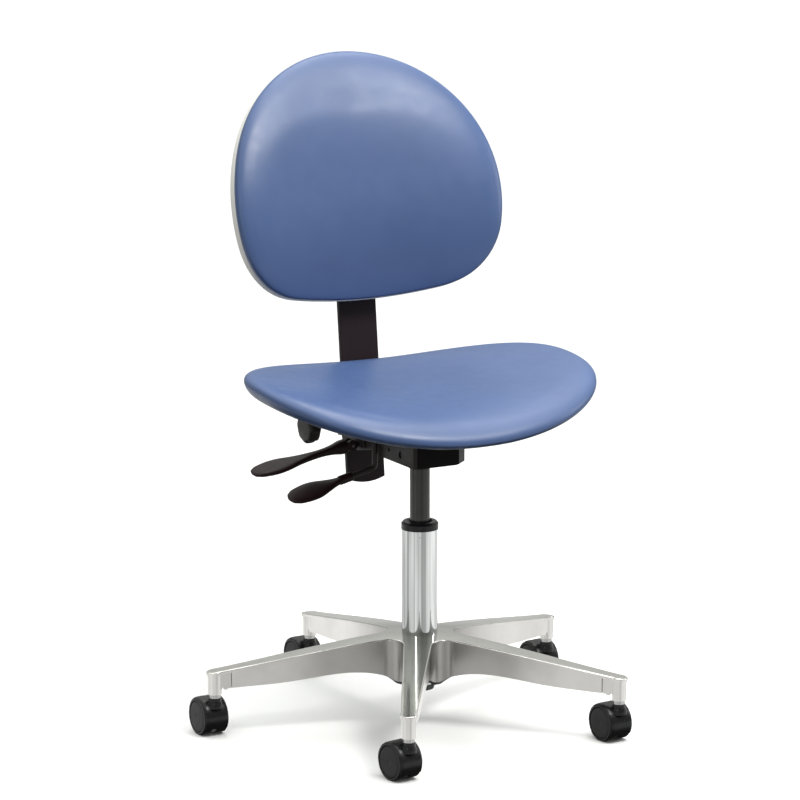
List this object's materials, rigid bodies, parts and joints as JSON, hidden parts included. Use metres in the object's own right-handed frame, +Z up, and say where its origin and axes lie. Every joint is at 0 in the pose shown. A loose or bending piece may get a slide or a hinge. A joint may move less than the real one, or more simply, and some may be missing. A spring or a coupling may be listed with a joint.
{
  "type": "dentist stool",
  "caption": "Swivel stool with a saddle-shaped seat and curved backrest on a gas lift, with two lift levers and a five-arm castor base.",
  "frame": {"origin": "on the floor, on the column axis", "axes": "+Z up, the sitter faces -Y, +X is the sitter's left"},
  "size_m": [0.5916, 0.6004, 0.9162],
  "materials": {
    "vinyl_blue": "smooth vinyl-coated cloth over foam, soft sheen",
    "shell_white": "satin moulded plastic",
    "polished_aluminium": "polished casting, satin sides",
    "chrome": "bright chrome",
    "tube_black": "semi-gloss black",
    "steel_black": "black powder coat",
    "bar_black": "fine-textured black powder coat",
    "gloss_black": "glossy black",
    "moulded_black": "fine-grained moulded plastic",
    "castor_black": "moulded nylon",
    "castor_wheel": "dark tyre tread with grey hub disc",
    "bearing_steel": "zinc plated",
    "rubber": "moulded rubber",
    "plywood": "plywood with black lining"
  },
  "bodies": {
    "base": {"base_star": "polished_aluminium", "column_tube": "chrome", "guide_bush": "moulded_black", "column_collar": "moulded_black", "thrust_bearing": "bearing_steel"},
    "spindle": {"piston_rod": "bearing_steel", "retaining_clip": "bearing_steel", "bumper": "rubber", "piston": "bearing_steel"},
    "carriage": {"gas_cylinder": "tube_black", "cylinder_gland": "bearing_steel", "taper_socket": "steel_black", "mechanism_housing": "steel_black", "front_cover": "gloss_black", "seat_plate": "steel_black", "seat_bolts": "bearing_steel", "seat_board": "plywood", "seat_pan": "plywood", "seat_cushion": "vinyl_blue", "lever_pin": "bearing_steel", "clamp_bolt": "bearing_steel", "pivot_pin": "bearing_steel", "friction_plates": "bearing_steel"},
    "valve": {"valve_button": "bearing_steel"},
    "height_lever": {"height_lever_arm": "steel_black", "height_lever_handle": "moulded_black"},
    "back_lever": {"back_lever_handle": "moulded_black"},
    "back_frame": {"back_bracket": "steel_black"},
    "knob": {"knob_stud": "bearing_steel", "clamp_knob": "moulded_black"},
    "backrest": {"back_bar": "bar_black", "backrest_screws": "bearing_steel", "backrest_board": "plywood", "backrest_shell": "shell_white", "backrest_cushion": "vinyl_blue"},
    "castor_1": {"castor_1_housing": "castor_black", "castor_1_stem": "bearing_steel", "castor_1_axle": "bearing_steel"},
    "castor_1_wheel_left": {"castor_1_wheel_left": "castor_wheel"},
    "castor_1_wheel_right": {"castor_1_wheel_right": "castor_wheel"},
    "castor_2": {"castor_2_housing": "castor_black", "castor_2_stem": "bearing_steel", "castor_2_axle": "bearing_steel"},
    "castor_2_wheel_left": {"castor_2_wheel_left": "castor_wheel"},
    "castor_2_wheel_right": {"castor_2_wheel_right": "castor_wheel"},
    "castor_3": {"castor_3_housing": "castor_black", "castor_3_stem": "bearing_steel", "castor_3_axle": "bearing_steel"},
    "castor_3_wheel_left": {"castor_3_wheel_left": "castor_wheel"},
    "castor_3_wheel_right": {"castor_3_wheel_right": "castor_wheel"},
    "castor_4": {"castor_4_housing": "castor_black", "castor_4_stem": "bearing_steel", "castor_4_axle": "bearing_steel"},
    "castor_4_wheel_left": {"castor_4_wheel_left": "castor_wheel"},
    "castor_4_wheel_right": {"castor_4_wheel_right": "castor_wheel"},
    "castor_5": {"castor_5_housing": "castor_black", "castor_5_stem": "bearing_steel", "castor_5_axle": "bearing_steel"},
    "castor_5_wheel_left": {"castor_5_wheel_left": "castor_wheel"},
    "castor_5_wheel_right": {"castor_5_wheel_right": "castor_wheel"}
  },
  "joints": [
    {"name": "seat_swivel", "type": "hinge", "parent": "base", "child": "spindle", "pos_m": [0, 0, 0.06], "axis": [0, 0, 1], "continuous": true},
    {"name": "seat_lift", "type": "slide", "parent": "spindle", "child": "carriage", "axis": [0, 0, 1], "range_m": [-0.066, 0.05]},
    {"name": "height_lever_lift", "type": "hinge", "parent": "carriage", "child": "height_lever", "pos_m": [-0.032, 0.044, 0.4055], "axis": [0, 1, 0], "range_deg": [0, 8], "stiffness_Nm_per_rad": 6, "springref_deg": -5.73},
    {"name": "valve_press", "type": "slide", "parent": "carriage", "child": "valve", "axis": [0, 0, -1], "range_m": [0, 0.0055], "stiffness_N_per_m": 2000, "springref_m": -0.002},
    {"name": "back_lever_lift", "type": "hinge", "parent": "carriage", "child": "back_lever", "pos_m": [-0.052, 0.109, 0.38], "axis": [0, 1, 0], "range_deg": [0, 10], "stiffness_Nm_per_rad": 6, "springref_deg": -5.73},
    {"name": "back_tilt", "type": "hinge", "parent": "carriage", "child": "back_frame", "pos_m": [0, 0.087, 0.386], "axis": [-1, 0, 0], "range_deg": [-4, 14]},
    {"name": "knob_turn", "type": "hinge", "parent": "back_frame", "child": "knob", "pos_m": [-0.085, 0.1688, 0.398], "axis": [1, 0, 0], "range_deg": [0, 360]},
    {"name": "back_height", "type": "slide", "parent": "back_frame", "child": "backrest", "axis": [0, 0.108, 0.9942], "range_m": [-0.05, 0.05]},
    {"name": "castor_1_swivel", "type": "hinge", "parent": "base", "child": "castor_1", "pos_m": [-0.15321, -0.24904, 0.05], "axis": [0, 0, 1], "continuous": true},
    {"name": "castor_1_roll_left", "type": "hinge", "parent": "castor_1", "child": "castor_1_wheel_left", "pos_m": [-0.15589, -0.23003, 0.0254], "axis": [0.9903, 0.1392, 0], "continuous": true},
    {"name": "castor_1_roll_right", "type": "hinge", "parent": "castor_1", "child": "castor_1_wheel_right", "pos_m": [-0.15589, -0.23003, 0.0254], "axis": [0.9903, 0.1392, 0], "continuous": true},
    {"name": "castor_2_swivel", "type": "hinge", "parent": "base", "child": "castor_2", "pos_m": [0.18951, -0.22267, 0.05], "axis": [0, 0, 1], "continuous": true},
    {"name": "castor_2_roll_left", "type": "hinge", "parent": "castor_2", "child": "castor_2_wheel_left", "pos_m": [0.1875, -0.20358, 0.0254], "axis": [0.9945, 0.1045, 0], "continuous": true},
    {"name": "castor_2_roll_right", "type": "hinge", "parent": "castor_2", "child": "castor_2_wheel_right", "pos_m": [0.1875, -0.20358, 0.0254], "axis": [0.9945, 0.1045, 0], "continuous": true},
    {"name": "castor_3_swivel", "type": "hinge", "parent": "base", "child": "castor_3", "pos_m": [0.27034, 0.11142, 0.05], "axis": [0, 0, 1], "continuous": true},
    {"name": "castor_3_roll_left", "type": "hinge", "parent": "castor_3", "child": "castor_3_wheel_left", "pos_m": [0.26866, 0.13055, 0.0254], "axis": [0.9962, 0.0872, 0], "continuous": true},
    {"name": "castor_3_roll_right", "type": "hinge", "parent": "castor_3", "child": "castor_3_wheel_right", "pos_m": [0.26866, 0.13055, 0.0254], "axis": [0.9962, 0.0872, 0], "continuous": true},
    {"name": "castor_4_swivel", "type": "hinge", "parent": "base", "child": "castor_4", "pos_m": [-0.02243, 0.29154, 0.05], "axis": [0, 0, 1], "continuous": true},
    {"name": "castor_4_roll_left", "type": "hinge", "parent": "castor_4", "child": "castor_4_wheel_left", "pos_m": [-0.02344, 0.31071, 0.0254], "axis": [0.9986, 0.0523, 0], "continuous": true},
    {"name": "castor_4_roll_right", "type": "hinge", "parent": "castor_4", "child": "castor_4_wheel_right", "pos_m": [-0.02344, 0.31071, 0.0254], "axis": [0.9986, 0.0523, 0], "continuous": true},
    {"name": "castor_5_swivel", "type": "hinge", "parent": "base", "child": "castor_5", "pos_m": [-0.2842, 0.06876, 0.05], "axis": [0, 0, 1], "continuous": true},
    {"name": "castor_5_roll_left", "type": "hinge", "parent": "castor_5", "child": "castor_5_wheel_left", "pos_m": [-0.28454, 0.08795, 0.0254], "axis": [0.9998, 0.0175, 0], "continuous": true},
    {"name": "castor_5_roll_right", "type": "hinge", "parent": "castor_5", "child": "castor_5_wheel_right", "pos_m": [-0.28454, 0.08795, 0.0254], "axis": [0.9998, 0.0175, 0], "continuous": true}
  ],
  "couplings": [
    {"joint": "valve_press", "follows": "height_lever_lift", "m_per_rad": 0.0345}
  ]
}
